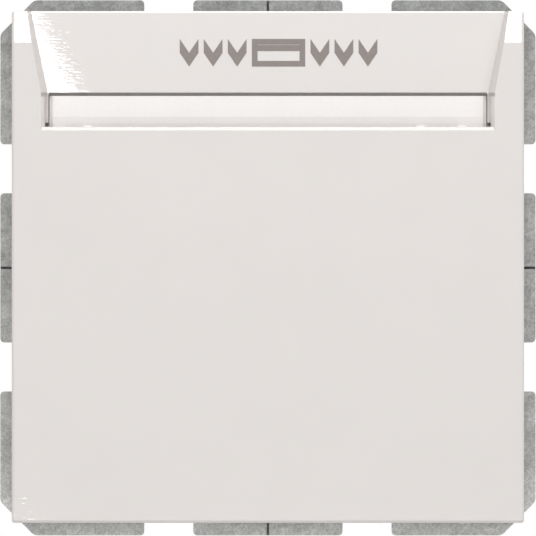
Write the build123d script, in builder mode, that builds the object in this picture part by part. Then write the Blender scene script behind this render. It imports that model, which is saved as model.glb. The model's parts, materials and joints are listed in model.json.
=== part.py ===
from build123d import *
import os
from math import cos, radians, sin, tan

os.makedirs("parts", exist_ok=True)

# Frame of the part
# X runs to the right, Z runs up and the front faces -Y. The wall is the plane Y = 0, where the rear face
# of the support plate lies. A "reach" is a distance from the wall towards the viewer, so it equals -Y,
# and what sits inside the wall box has a negative reach. The origin is the middle of the plate's rear face.

# Clearances
overrun = 1.0            # how far a cut runs past the face that it opens
running_gap = 0.05       # radial gap of a shaft or thread that turns in its hole
seat_gap = 0.05          # gap between a loose flat face and the flat face that carries it
fit_gap = 0.15           # gap round a fixed piece in its slot
free_gap = 0.3           # gap between faces that move past each other
screw_slack = 0.3        # radial gap of a clearance hole round a screw

# Support plate
plate_side = 71.0
plate_thick = 1.0
plate_chamfer = 4.5
plate_corner_round = 1.2
tab_round = 0.55
notch_width = 6.5
notch_depth = 2.6
notch_offset = 13.15     # from the plate's middle to the middle of a notch
mark_width = 0.3
mark_length = 2.4
mark_groove = 0.6        # depth of a scribed centre mark
plate_window_inset = 1.8 # from the insert screws in to the window's side edges
plate_window_margin = 1.2  # from the cap's top and bottom in to the window
box_screw_spacing = 60.0
box_hole_radius = 2.1
arc_slot_sweep = 16.0    # degrees of the circle of box screws that an arc slot covers

# Cover shell
cover_side = 67.7
cover_front = 13.0       # reach of the cover's front face
cover_rim = 1.6          # reach of the cover's rear rim
cover_wall = 1.6
cover_face_thick = 2.0
cover_edge_round = 0.4
crown_height = 4.2       # height of the stretch at the top that falls back
crown_drop = 1.0         # how far the top edge lies behind the front face
lip_height = 18.5        # height of the lip, the slot's lower edge
lip_round = 0.5
slot_height = 4.6
slot_width = 58.1
slot_corner_round = 0.35
slot_relief_width = 0.4
slot_relief_height = 0.6
funnel_width = 60.0      # width of the funnel at the slot, on the front face
funnel_side_slope = 0.19 # how much a funnel side moves outwards for each unit of height
funnel_draft = 12.0      # degrees of draft on the funnel's sides
funnel_loft_depth = 4.6
ramp_depth_low = 4.1     # depth of the ramp behind the front face, at the slot
ramp_depth_high = 3.2    # the same at the cover's top edge
ramp_wall = 1.5
ramp_edge_break = 0.22   # chamfer along the ramp's top edge

# Card guide, the inner piece behind the slot
card_width = 54.0
card_slack = 0.3
guide_width = 57.0
guide_front = 8.7
guide_thick = 1.5
guide_top_gap = 0.45
guide_bevel_top = 19.9   # height where the guide's face starts to fall back
guide_bevel_drop = 1.5   # how far below the lip the bevel ends
guide_bevel_depth = 0.4
guide_step_depth = 0.6   # depth of the steps at the guide's two ends
guide_back_half = 30.3   # half width of the flange behind the guide's top
guide_back_thick = 0.9
guide_back_rise = 1.3    # how far the flange stands above the slot
guide_bottom = 24.4      # how far the guide reaches below the middle
guide_rib_places = (-23.9, 20.2, 25.7)
guide_rib_width = 1.0
guide_rib_rise = 0.15    # how far a rib's top stands above the lip
guide_rib_lead = 1.1
pocket_gap = 1.2         # free depth for the card between the ribs and the cover
card_stop = 17.2         # how far the card's lower edge goes below the middle
card_stop_thick = 1.2
guide_window_margin = 0.4
guide_ear_half = 2.2
guide_ear_end = 31.9
guide_screw_x = 30.5
guide_screw_heights = (13.0, -21.8)
guide_screw_radius = 0.9
guide_screw_head_radius = 1.7
guide_screw_head_thick = 1.0
guide_screw_bite = 3.3
guide_boss_radius = 1.7
leg_offset = 9.0
leg_width = 5.0
leg_thick = 1.1
leg_end = 1.7            # reach of a snap leg's rear end
barb_thick = 0.5
barb_low = 2.0
barb_high = 3.0

# Insert cap, the front half of the insert
cap_side_overhang = 1.9  # how far the cap stands out past the housing on either side
cap_end_inset = 1.0      # how far the cap's ends lie inside the housing's ends
cap_front = 5.9
cap_wall = 1.2
cap_round = 2.0
cap_window_top = 12.4
cap_window_bottom = 20.2
pin_rib_width = 1.2
pin_rib_depth = 3.6
insert_screw_side_inset = 5.7  # from the cap's sides
insert_screw_end_inset = 4.4   # from the cap's ends
insert_screw_radius = 1.25
insert_screw_head_radius = 2.2
insert_screw_head_thick = 1.6
insert_screw_seat = 3.9  # reach of the shoulder that the heads sit on
insert_screw_end = -8.0
boss_wall = 1.1
cross_recess_width = 0.6
cross_recess_depth = 0.7

# Rear housing
housing_wall = 1.4
housing_chamfer = 4.5
boss_length = 9.5
ledge_height = 3.0
ledge_offset = 10.5
ledge_depth = 2.4
ledge_bite = 0.8

# Circuit board
board_front = -5.15
board_thick = 1.6
board_side_margin = 2.3  # from the relay's end to the board's edge
board_side_gap = 0.4     # gap between the board and a side wall
board_end_gap = 1.6      # gap between the board and an end wall
board_corner_width = 5.5
board_corner_height = 6.0

# Card lever
pivot_reach = 3.0
pivot_drop = 15.5        # how far the pivot lies below the middle
lever_width = 3.8
lever_boss_radius = 1.3
lever_pin_radius = 0.75
nose_reach = 10.8
nose_rise = 1.1          # how far the nose's top face lies above the pivot
nose_tip_thick = 1.2
nose_root_thick = 2.2
finger_length = 2.6
finger_radius = 0.5
tail_thick = 1.0
lever_spring_thick = 0.25
lever_spring_width = 2.4
lever_spring_top = 8.0   # how far the clamped end lies below the middle
lever_swing = 20.0        # degrees from rest to a card fully in

# Microswitch under the lever
switch_length = 12.8
switch_width = 5.8
switch_depth = 6.5
switch_lid_thick = 1.0
switch_wall = 0.8
switch_floor = 1.0
switch_shift = 2.9       # how far the case's middle lies beside its plunger
plunger_radius = 1.0
plunger_flange_radius = 1.2
plunger_flange_thick = 1.0
plunger_gap = 0.1
plunger_stroke = 0.92
pin_width = 0.9
pin_thick = 0.5
pin_tail = 1.2           # how far a pin comes out behind the board
blade_thick = 0.2
blade_width = 2.4
contact_gap = 0.95

# Locator lamp and its light pipe
lamp_inset = 2.0         # from the board's top edge
lamp_radius = 1.5
lamp_collar_radius = 1.8
lamp_collar_thick = 0.7
lamp_length = 2.4
pipe_width = 6.0
pipe_height = 3.0
pipe_flange = 1.0
pipe_front = 6.0
pipe_lamp_gap = 0.3

# Screw terminals
terminal_outer_x = 10.4
terminal_inner_x = 3.7
terminal_inset = 8.0     # from the housing's rear face to the terminal screws
cage_width = 5.6
cage_depth = 5.0
cage_wall = 1.0
cage_floor = 1.2
cage_height = 7.4
cage_head_gap = 2.7      # gap between a cage and its screw's head, for the cage's travel
rail_lift = 3.8          # from the cage's bottom to the rail's top face
rail_thick = 0.8
rail_width = 3.2
rail_rear_gap = 1.4      # gap between a rail's rear end and the housing's rear wall
rail_tail_width = 1.2
terminal_screw_radius = 1.45
terminal_head_radius = 2.0
terminal_head_thick = 1.8
terminal_head_inset = 0.6 # from the housing's bottom face to the heads
slot_cut_width = 0.6
slot_cut_depth = 0.8
access_hole_radius = 2.4
wire_hole_radius = 1.7
wire_hole_lift = 1.3      # from the rail's top face to the middle of a wire hole

# Spreading claws
claw_arm_length = 3.8    # from the pivot to the claw screw
claw_pivot_reach = -6.5
claw_pin_radius = 0.9
claw_knuckle_radius = 1.7
claw_half_height = 5.2
lug_thick = 1.0
lug_gap = 0.2
lug_inner_side = 1.6     # how far a lug runs inwards from the pivot
lug_outer_side = 1.8
lug_end = -8.4
claw_screw_gap = 2.4     # gap between the insert cap and a claw screw's head
claw_screw_radius = 1.5
claw_head_radius = 2.5
claw_head_thick = 1.9
claw_nut_half_width = 2.2
claw_nut_half_height = 3.4
claw_nut_thick = 2.5
claw_nut_gap = 0.12
claw_screw_tail = 0.5
claw_arm_front = 2.0     # the arm's faces lie this far before the pivot
claw_arm_rear = 0.5
claw_arm_overhang = 2.0  # how far the fork runs out past the claw screw
claw_window_half = 3.8
claw_fork_half = 1.9
claw_rib_radius = 0.6
claw_rib_offset = 0.2
claw_leg_inner = 0.6
claw_leg_outer = 0.8
claw_leg_window = 5.5
claw_leg_length = 11.0
claw_tooth_base = 8.0
claw_tooth_height = 1.6

# Relay on the rear of the board
relay_length = 29.0
relay_width = 12.7
relay_depth = 15.7
relay_clear = 4.15       # free depth between the relay and the housing's rear wall
relay_cage_gap = 2.3     # gap between the relay and the cages below it
relay_wall = 0.8
relay_base_flange = 1.5
relay_base_step = 1.0
coil_left_inset = 2.3    # from the relay's left end
coil_right_inset = 10.5  # from the relay's right end
coil_flange = 1.0
coil_clear = 0.675       # free space on either side of the coil, front and rear
winding_step = 0.4       # how far the winding stays inside the bobbin's flanges
bobbin_tube_radius = 2.3
core_radius = 1.5
core_head_radius = 2.6
core_head_thick = 0.9
yoke_thick = 1.2
armature_gap = 0.45
armature_thick = 1.0
armature_half_height = 4.2
armature_tip_gap = 1.2   # from the contact's middle back to the armature's free end
contact_strip_thick = 0.3
contact_strip_gap = 1.05 # gap between the contact strip and the relay's base
contact_button_radius = 0.9
contact_button_thick = 0.5
relay_contact_gap = 0.6

# Other parts on the rear of the board
film_cap_side_inset = 1.3
film_cap_height = 8.5
film_cap_relay_gap = 2.0
film_cap_can_gap = 2.0
film_cap_depth = 14.5
film_cap_round = 0.8
can_side_inset = 4.3     # from the board's edge to the can
can_relay_gap = 2.5
can_radius = 4.0
can_depth = 12.0
can_groove_depth = 0.3
can_groove_offset = 1.6
can_groove_width = 0.8
rectifier_side_inset = 6.3
rectifier_end_inset = 0.6
rectifier_height = 5.0
rectifier_varistor_gap = 2.0
rectifier_depth = 3.3
varistor_thick = 3.6
varistor_fuse_gap = 1.3
varistor_radius = 2.9
varistor_lift = 1.2
lead_radius = 0.3
fuse_length = 5.8
fuse_side_inset = 6.1
fuse_end_inset = 3.0     # from the board's top edge to the fuse's axis
fuse_radius = 1.6
resistor_side_inset = 1.9
resistor_radius = 1.1
resistor_length = 4.0
resistor_gap = 1.2
resistor_relay_gap = 1.7
lead_stub = 0.9          # how far a lead runs on past the body before it turns to the board
part_lift = 0.2          # gap between a lying part and the board


# Spans and basic shapes
def middle(span):
    return (span[0] + span[1]) / 2


def spread(span):
    return span[1] - span[0]


def around(centre, width):
    return (centre - width / 2, centre + width / 2)


def both(half):
    return (-half, half)


def block(x_span, z_span, reach_span, mode=Mode.ADD):
    """A square-cornered block between spans of X, Z and reach."""
    with BuildSketch(Plane.XZ.offset(reach_span[0])) as outline:
        with Locations((middle(x_span), middle(z_span))):
            Rectangle(spread(x_span), spread(z_span))
    extrude(outline.sketch, amount=spread(reach_span), mode=mode)


def rod(x, z, radius, reach_span, mode=Mode.ADD):
    """A round rod that points at the viewer."""
    with BuildSketch(Plane.XZ.offset(reach_span[0])) as outline:
        with Locations((x, z)):
            Circle(radius)
    extrude(outline.sketch, amount=spread(reach_span), mode=mode)


def post(x, reach, radius, z_span, mode=Mode.ADD):
    """A round upright rod."""
    with BuildSketch(Plane.XY.offset(z_span[0])) as outline:
        with Locations((x, -reach)):
            Circle(radius)
    extrude(outline.sketch, amount=spread(z_span), mode=mode)


def axle(reach, z, radius, x_span, mode=Mode.ADD):
    """A round rod from left to right."""
    with BuildSketch(Plane.YZ.offset(x_span[0])) as outline:
        with Locations((-reach, z)):
            Circle(radius)
    extrude(outline.sketch, amount=spread(x_span), mode=mode)


def side_profile(points, x_span, mode=Mode.ADD):
    """An outline of (reach, height) points, as deep as a span of X."""
    with BuildSketch(Plane.YZ.offset(x_span[0])) as outline:
        with BuildLine():
            Polyline([(-reach, height) for reach, height in points], close=True)
        make_face()
    extrude(outline.sketch, amount=spread(x_span), mode=mode)


def plan_profile(points, z_span, mode=Mode.ADD):
    """An outline of (x, reach) points, as high as a span of Z."""
    with BuildSketch(Plane.XY.offset(z_span[0])) as outline:
        with BuildLine():
            Polyline([(x, -reach) for x, reach in points], close=True)
        make_face()
    extrude(outline.sketch, amount=spread(z_span), mode=mode)


def cross_recess(x, z, reach_front, size):
    """Cuts a cross recess into a screw head that faces the viewer."""
    depth_span = (reach_front - cross_recess_depth, reach_front + overrun)
    block(around(x, size), around(z, cross_recess_width), depth_span, Mode.SUBTRACT)
    block(around(x, cross_recess_width), around(z, size), depth_span, Mode.SUBTRACT)


# Values that follow from the sizes above
half_plate = plate_side / 2
half_cover = cover_side / 2
face_inner = cover_front - cover_face_thick
cavity_half = half_cover - cover_wall
slot_top = lip_height + slot_height
ramp_low = cover_front - ramp_depth_low
ramp_high = cover_front - ramp_depth_high
upper_cavity_front = ramp_low - ramp_wall
crown_start = half_cover - crown_height
guide_rear = guide_front - guide_thick
guide_top = slot_top - guide_top_gap
half_guide = guide_width / 2
rail_inner = card_width / 2 + card_slack
pocket_rear = face_inner - pocket_gap
pivot_height = -pivot_drop
cap_inner = cap_front - cap_wall
board_rear = board_front - board_thick
housing_depth = relay_depth + relay_clear + housing_wall - board_rear
terminal_reach = terminal_inset - housing_depth
rail_rear = rail_rear_gap + housing_wall - housing_depth
switch_front = board_front + switch_depth
finger_height = pivot_height - finger_length
switch_centre = finger_height
switch_low = switch_centre - switch_width / 2
half_board = relay_length / 2 + board_side_margin
half_board_height = -switch_low
half_housing = half_board + board_side_gap + housing_wall
half_housing_height = half_board_height + board_end_gap + housing_wall
half_cap_width = half_housing + cap_side_overhang
half_cap_height = half_housing_height - cap_end_inset
claw_screw_x = half_cap_width + claw_screw_gap + claw_head_radius
claw_pivot_x = claw_screw_x - claw_arm_length
claw_arm_end = claw_screw_x + claw_arm_overhang
insert_screw_x = half_cap_width - insert_screw_side_inset
insert_screw_z = half_cap_height - insert_screw_end_inset
window_half_width = insert_screw_x - plate_window_inset
window_half_height = half_cap_height - plate_window_margin
lamp_height = half_board_height - lamp_inset
terminal_places = (-terminal_outer_x, -terminal_inner_x, terminal_inner_x, terminal_outer_x)
head_low = terminal_head_inset - half_housing_height
head_high = head_low + terminal_head_thick
cage_low = head_high + cage_head_gap
cage_high = cage_low + cage_height
rail_high = cage_low + rail_lift
rail_low = rail_high - rail_thick
wire_hole_height = rail_high + wire_hole_lift
plunger_tip = pivot_reach - finger_radius - running_gap

# the tail ends where its full swing still clears the leaf spring, which lies flat on the cap
swing = radians(lever_swing)
tail_swing_room = cap_inner - lever_spring_thick - 2 * seat_gap - pivot_reach - cos(swing) * tail_thick / 2
tail_length = tail_swing_room / sin(swing)

# Cover shell
# The funnel widens upwards; its sides are drafted, and the slot below the ramp goes right through.


def funnel_outline(reach):
    """The funnel's outline at one reach, from the lip to above the cover's top edge."""
    growth = (reach - cover_front) * tan(radians(funnel_draft))
    low = funnel_width / 2 + growth
    top = half_cover + overrun
    high = low + (top - slot_top) * funnel_side_slope
    with BuildSketch(Plane.XZ.offset(reach)) as outline:
        with BuildLine():
            Polyline(
                (-low, lip_height - lip_round),
                (low, lip_height - lip_round),
                (low, slot_top),
                (high, top),
                (-high, top),
                (-low, slot_top),
                close=True,
            )
        make_face()
    return outline.sketch


with BuildPart() as funnel_space:
    loft([funnel_outline(cover_front - funnel_loft_depth), funnel_outline(cover_front + overrun)],
         ruled=True)
    ramp_slope = (ramp_high - ramp_low) / (half_cover - slot_top)
    ramp_break_reach = ramp_high - ramp_edge_break * ramp_slope
    with BuildSketch(Plane.YZ.offset(-half_cover)):
        with BuildLine():
            Polyline(
                (-cover_front - overrun, lip_height - lip_round),
                (-cover_front - overrun, half_cover + overrun),
                (ramp_edge_break + overrun - ramp_break_reach, half_cover + overrun),
                (-ramp_break_reach, half_cover - ramp_edge_break),
                (-ramp_low, slot_top),
                (-ramp_low, lip_height),
                (-cover_front + lip_round, lip_height),
            )
            RadiusArc(
                (-cover_front + lip_round, lip_height),
                (-cover_front, lip_height - lip_round),
                lip_round,
            )
            Line((-cover_front, lip_height - lip_round), (-cover_front - overrun, lip_height - lip_round))
        make_face()
    extrude(amount=cover_side, mode=Mode.INTERSECT)

with BuildPart() as cover_shell:
    with BuildSketch(Plane.YZ.offset(-half_cover)):
        with BuildLine():
            Polyline(
                (-cover_front, crown_start),
                (-cover_front, -half_cover),
                (-cover_rim, -half_cover),
                (-cover_rim, half_cover),
                (-cover_front + crown_drop, half_cover),
                close=True,
            )
        make_face()
    extrude(amount=cover_side)
    rim_edges = cover_shell.edges().group_by(Axis.Y)[-1]
    outer_edges = [edge for edge in cover_shell.edges() if edge not in rim_edges]
    crown_crease = [
        edge
        for edge in outer_edges
        if abs(edge.center().Z - crown_start) < seat_gap and abs(edge.center().X) < seat_gap
    ]
    fillet([edge for edge in outer_edges if edge not in crown_crease], cover_edge_round)
    # hollow behind the pocket front, and behind the ramp and the two ears
    block(both(cavity_half), (-cavity_half, lip_height), (0, face_inner), Mode.SUBTRACT)
    block(both(cavity_half), (-cavity_half, cavity_half), (0, upper_cavity_front), Mode.SUBTRACT)
    # bosses for the card guide's screws
    for side in (-1, 1):
        for height in guide_screw_heights:
            rod(side * guide_screw_x, height, guide_boss_radius,
                (guide_front + seat_gap, cover_front - lip_round))
    # card slot with its relief notches at the lower corners
    slot_cut = (upper_cavity_front - overrun, cover_front + overrun)
    block(both(slot_width / 2), (lip_height, slot_top - slot_corner_round), slot_cut, Mode.SUBTRACT)
    block(both(slot_width / 2 - slot_corner_round), (lip_height, slot_top), slot_cut, Mode.SUBTRACT)
    for side in (-1, 1):
        rod(side * (slot_width / 2 - slot_corner_round), slot_top - slot_corner_round, slot_corner_round,
            slot_cut, Mode.SUBTRACT)
    relief_half = slot_width / 2 + slot_relief_width
    block(both(relief_half), (lip_height, lip_height + slot_relief_height), slot_cut, Mode.SUBTRACT)
    add(funnel_space.part, mode=Mode.SUBTRACT)
    for side in (-1, 1):
        for height in guide_screw_heights:
            bore_radius = guide_screw_radius + running_gap
            rod(side * guide_screw_x, height, bore_radius, (guide_front, guide_front + guide_screw_bite),
                Mode.SUBTRACT)
cover_shell.part.label = "cover_shell"
export_step(cover_shell.part, "parts/cover_shell.step")

# Card guide
with BuildPart() as card_guide:
    guide_span = (guide_rear, guide_front)
    block(both(half_guide), (-guide_bottom, guide_top), guide_span)
    # the face falls back towards the lip
    bevel_low = lip_height - guide_bevel_drop
    side_profile(
        [
            (guide_front, guide_bevel_top),
            (guide_front + overrun, guide_bevel_top),
            (guide_front + overrun, bevel_low),
            (guide_front - guide_bevel_depth, bevel_low),
        ],
        both(half_guide),
        Mode.SUBTRACT,
    )
    # flange behind the top, and steps that fill the slot's ends
    block(both(guide_back_half), (bevel_low, slot_top + guide_back_rise),
          (guide_rear - guide_back_thick, guide_rear))
    block(both(slot_width / 2 - fit_gap), (bevel_low, guide_top),
          (guide_rear, guide_front - guide_step_depth))
    for side in (-1, 1):
        # side rails that keep the card straight, and ears for the screws
        rail_span = (rail_inner, half_guide) if side > 0 else (-half_guide, -rail_inner)
        block(rail_span, (-card_stop - card_stop_thick, lip_height - lip_round),
              (guide_rear, face_inner - fit_gap))
        ear_span = (rail_inner, guide_ear_end) if side > 0 else (-guide_ear_end, -rail_inner)
        for height in guide_screw_heights:
            block(ear_span, around(height, 2 * guide_ear_half), guide_span)
            rod(side * guide_screw_x, height, guide_screw_radius + screw_slack,
                (guide_rear - overrun, guide_front + overrun), Mode.SUBTRACT)
    # the card's stop, left open where the lever comes through
    block(both(rail_inner), (-card_stop - card_stop_thick, -card_stop), (guide_front, face_inner - fit_gap))
    # ribs that bring the card close to the cover
    for place in guide_rib_places:
        side_profile(
            [
                (guide_rear, -card_stop),
                (pocket_rear, -card_stop),
                (pocket_rear, lip_height - guide_rib_lead),
                (guide_front, lip_height + guide_rib_rise),
                (guide_rear, lip_height + guide_rib_rise),
            ],
            around(place, guide_rib_width),
        )
    window_half = lever_width / 2 + guide_window_margin
    block(both(window_half), (-cap_window_bottom, -cap_window_top - guide_window_margin),
          (guide_rear - overrun, face_inner), Mode.SUBTRACT)
    # snap legs on both sides, with barbs that hook into the insert cap
    for side in (-1, 1):
        leg_near = half_cap_width + free_gap
        leg = sorted((side * leg_near, side * (leg_near + leg_thick)))
        barb = sorted((side * (leg_near - barb_thick), side * leg_near))
        for place in (-leg_offset, leg_offset):
            block(leg, around(place, leg_width), (leg_end, guide_rear))
            block(barb, around(place, leg_width), (barb_low, barb_high))
card_guide.part.label = "card_guide"
export_step(card_guide.part, "parts/card_guide.step")

with BuildPart() as card_guide_screws:
    for side in (-1, 1):
        for height in guide_screw_heights:
            head_rear = guide_rear - guide_screw_head_thick
            rod(side * guide_screw_x, height, guide_screw_head_radius, (head_rear, guide_rear))
            rod(side * guide_screw_x, height, guide_screw_radius,
                (guide_rear, guide_front + guide_screw_bite - free_gap))
            block(around(side * guide_screw_x, slot_cut_width), around(height, 2 * guide_screw_radius),
                  (head_rear - overrun, head_rear + guide_screw_head_thick / 2), Mode.SUBTRACT)
card_guide_screws.part.label = "card_guide_screws"
export_step(card_guide_screws.part, "parts/card_guide_screws.step")

# Support plate


def plate_outline():
    """The square plate with cut corners and notches, as a sketch on its rear face."""
    with BuildSketch(Plane.XZ) as outline:
        Rectangle(plate_side, plate_side)
        chamfer(outline.vertices(), plate_chamfer)
        fillet(outline.vertices(), plate_corner_round)
        for quarter in range(4):
            with Locations(Location((0, 0, 0), (0, 0, 90 * quarter))):
                for place in (-notch_offset, notch_offset):
                    with Locations((place, half_plate - notch_depth / 2 + overrun / 2)):
                        Rectangle(notch_width, notch_depth + overrun, mode=Mode.SUBTRACT)
    return outline.sketch


def near_edge(vertex):
    """Whether a plate corner is the outer corner of a notch."""
    across = max(abs(vertex.X), abs(vertex.Z))
    along = min(abs(vertex.X), abs(vertex.Z))
    return abs(across - half_plate) < seat_gap and abs(along - notch_offset) < notch_width


with BuildPart() as support_plate:
    extrude(plate_outline(), amount=plate_thick)
    tab_edges = [edge for edge in support_plate.edges().filter_by(Axis.Y) if near_edge(edge.center())]
    fillet(tab_edges, tab_round)
    # scribed centre marks at the four edges
    scribe = (plate_thick - mark_groove, plate_thick + overrun)
    for end in (-1, 1):
        mark = sorted((end * (half_plate - mark_length), end * (half_plate + overrun)))
        block(around(0, mark_width), mark, scribe, Mode.SUBTRACT)
        block(mark, around(0, mark_width), scribe, Mode.SUBTRACT)
    through = (-overrun, plate_thick + overrun)
    block(both(window_half_width), both(window_half_height), through, Mode.SUBTRACT)
    for end in (-1, 1):
        rod(0, end * box_screw_spacing / 2, box_hole_radius, through, Mode.SUBTRACT)
        for side in (-1, 1):
            rod(side * insert_screw_x, end * insert_screw_z, insert_screw_radius + screw_slack, through,
                Mode.SUBTRACT)
    for side in (-1, 1):
        rod(side * claw_screw_x, 0, claw_screw_radius + screw_slack, through, Mode.SUBTRACT)
        # arc slots that let the plate turn a little round its box screws
        start = 90 * (1 - side) - arc_slot_sweep / 2
        ring = box_screw_spacing / 2
        with BuildSketch(Plane.XZ.offset(-overrun)) as arc_slot:
            with BuildLine():
                CenterArc((0, 0), ring + box_hole_radius, start, arc_slot_sweep)
                CenterArc((0, 0), ring - box_hole_radius, start, arc_slot_sweep)
                for turn, angle in ((180, start), (0, start + arc_slot_sweep)):
                    centre = (ring * cos(radians(angle)), ring * sin(radians(angle)))
                    CenterArc(centre, box_hole_radius, angle + turn, 180)
            make_face()
        extrude(arc_slot.sketch, amount=plate_thick + 2 * overrun, mode=Mode.SUBTRACT)
        # lugs bent back to carry the claws' pins
        for end in (-1, 1):
            lug_near = claw_half_height + lug_gap
            lug_x = sorted((side * (claw_pivot_x - lug_inner_side), side * (claw_pivot_x + lug_outer_side)))
            lug_z = sorted((end * lug_near, end * (lug_near + lug_thick)))
            block(lug_x, lug_z, (lug_end, plate_thick / 2))
            post(side * claw_pivot_x, claw_pivot_reach, claw_pin_radius + running_gap,
                 (lug_z[0] - overrun, lug_z[1] + overrun / 2), Mode.SUBTRACT)
support_plate.part.label = "support_plate"
export_step(support_plate.part, "parts/support_plate.step")

# Insert cap
with BuildPart() as insert_cap:
    with BuildSketch(Plane.XZ.offset(plate_thick)):
        RectangleRounded(2 * half_cap_width, 2 * half_cap_height, cap_round)
    extrude(amount=cap_front - plate_thick)
    fillet(insert_cap.faces().sort_by(Axis.Y)[0].edges(), cap_wall / 2)
    with BuildSketch(Plane.XZ.offset(plate_thick)):
        RectangleRounded(2 * (half_cap_width - cap_wall), 2 * (half_cap_height - cap_wall),
                         cap_round - cap_wall)
    extrude(amount=cap_inner - plate_thick, mode=Mode.SUBTRACT)
    for side in (-1, 1):
        for end in (-1, 1):
            boss_radius = insert_screw_head_radius + free_gap + boss_wall
            rod(side * insert_screw_x, end * insert_screw_z, boss_radius,
                (plate_thick, cap_inner + cap_wall / 2))
        rib = sorted((side * (lever_width / 2 + free_gap),
                      side * (lever_width / 2 + free_gap + pin_rib_width)))
        rib_z = around(pivot_height, pin_rib_depth)
        block(rib, rib_z, (switch_front + free_gap, cap_inner + cap_wall / 2))
        depth = barb_thick - free_gap + fit_gap
        notch = sorted((side * (half_cap_width - depth), side * (half_cap_width + overrun)))
        for end in (-1, 1):
            block(notch, around(end * leg_offset, leg_width + 2 * fit_gap),
                  (barb_low - fit_gap, barb_high + fit_gap), Mode.SUBTRACT)
    axle(pivot_reach, pivot_height, lever_pin_radius + running_gap,
         both(lever_width / 2 + free_gap + pin_rib_width + overrun), Mode.SUBTRACT)
    block(both(lever_width / 2 + free_gap), (-cap_window_bottom, -cap_window_top),
          (cap_inner - overrun, cap_front + overrun), Mode.SUBTRACT)
    pipe_hole = both(pipe_width / 2 + running_gap)
    block(pipe_hole, around(lamp_height, pipe_height + 2 * running_gap),
          (cap_inner - overrun, cap_front + overrun), Mode.SUBTRACT)
    for side in (-1, 1):
        for end in (-1, 1):
            rod(side * insert_screw_x, end * insert_screw_z, insert_screw_head_radius + free_gap,
                (insert_screw_seat, cap_front + overrun), Mode.SUBTRACT)
            rod(side * insert_screw_x, end * insert_screw_z, insert_screw_radius + screw_slack,
                (0, cap_front), Mode.SUBTRACT)
insert_cap.part.label = "insert_cap"
export_step(insert_cap.part, "parts/insert_cap.step")

with BuildPart() as insert_screws:
    for side in (-1, 1):
        for end in (-1, 1):
            head_front = insert_screw_seat + insert_screw_head_thick
            rod(side * insert_screw_x, end * insert_screw_z, insert_screw_head_radius,
                (insert_screw_seat, head_front))
            rod(side * insert_screw_x, end * insert_screw_z, insert_screw_radius,
                (insert_screw_end, insert_screw_seat))
            cross_recess(side * insert_screw_x, end * insert_screw_z, head_front, insert_screw_head_radius)
insert_screws.part.label = "insert_screws"
export_step(insert_screws.part, "parts/insert_screws.step")

# Rear housing


def housing_outline(reach, inset):
    """The housing's outline with cut corners, drawn in by an inset."""
    with BuildSketch(Plane.XZ.offset(reach)) as outline:
        Rectangle(2 * half_housing, 2 * half_housing_height)
        chamfer(outline.vertices(), housing_chamfer)
        if inset:
            offset(amount=-inset, kind=Kind.INTERSECTION, mode=Mode.REPLACE)
    return outline.sketch


with BuildPart() as rear_housing:
    extrude(housing_outline(-housing_depth, 0), amount=housing_depth)
    fillet(rear_housing.faces().sort_by(Axis.Y)[-1].edges(), housing_wall / 2)
    extrude(housing_outline(-housing_depth + housing_wall, housing_wall),
            amount=housing_depth, mode=Mode.SUBTRACT)
    for side in (-1, 1):
        wall_x = half_housing - housing_wall / 2
        for end in (-1, 1):
            boss_radius = insert_screw_radius + boss_wall
            rod(side * insert_screw_x, end * insert_screw_z, boss_radius, (-boss_length, 0))
            # web from the boss to the side wall
            web = sorted((side * insert_screw_x, side * wall_x))
            block(web, around(end * insert_screw_z, boss_wall), (-boss_length, 0))
            rod(side * insert_screw_x, end * insert_screw_z, insert_screw_radius + running_gap,
                (insert_screw_end - free_gap, overrun), Mode.SUBTRACT)
            # ledge that the circuit board lies on
            ledge = sorted((side * (half_board - ledge_bite), side * wall_x))
            block(ledge, around(end * ledge_offset, ledge_height), (board_rear - ledge_depth, board_rear))
    for place in terminal_places:
        rod(place, wire_hole_height, wire_hole_radius,
            (-housing_depth - overrun, -housing_depth + housing_wall + overrun), Mode.SUBTRACT)
        post(place, terminal_reach, access_hole_radius,
             (-half_housing_height - overrun, -half_housing_height + housing_wall + overrun), Mode.SUBTRACT)
    # saddles that carry the rear ends of the conductor rails
    for place in terminal_places:
        saddle_rear = -housing_depth + housing_wall / 2
        block(around(place, rail_width), (rail_low - boss_wall, rail_low),
              (saddle_rear, terminal_reach - cage_depth / 2 - free_gap))
rear_housing.part.label = "rear_housing"
export_step(rear_housing.part, "parts/rear_housing.step")

# Circuit board
switch_left = switch_shift - switch_length / 2
switch_right = switch_shift + switch_length / 2
switch_pins = {
    "common": (switch_left + switch_wall + fit_gap, switch_left + switch_wall + fit_gap + pin_width),
    "open": (switch_right - switch_wall - pin_width - 2 * fit_gap - pin_thick,
             switch_right - switch_wall - 2 * fit_gap - pin_thick),
    "closed": (switch_right - switch_wall - fit_gap - pin_thick, switch_right - switch_wall - fit_gap),
}

with BuildPart() as circuit_board:
    block(both(half_board), both(half_board_height), (board_rear, board_front))
    through = (board_rear - overrun, board_front + overrun)
    for side in (-1, 1):
        for end in (-1, 1):
            corner_x = sorted((side * (half_board - board_corner_width), side * (half_board + overrun)))
            corner_z = sorted((end * (half_board_height - board_corner_height),
                               end * (half_board_height + overrun)))
            block(corner_x, corner_z, through, Mode.SUBTRACT)
    for place in terminal_places:
        block(around(place, rail_tail_width + 2 * running_gap),
              (rail_low - running_gap, rail_high + running_gap), through, Mode.SUBTRACT)
    for span in switch_pins.values():
        block((span[0] - running_gap, span[1] + running_gap),
              around(switch_centre, pin_thick + 2 * running_gap), through, Mode.SUBTRACT)
circuit_board.part.label = "circuit_board"
export_step(circuit_board.part, "parts/circuit_board.step")

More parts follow.
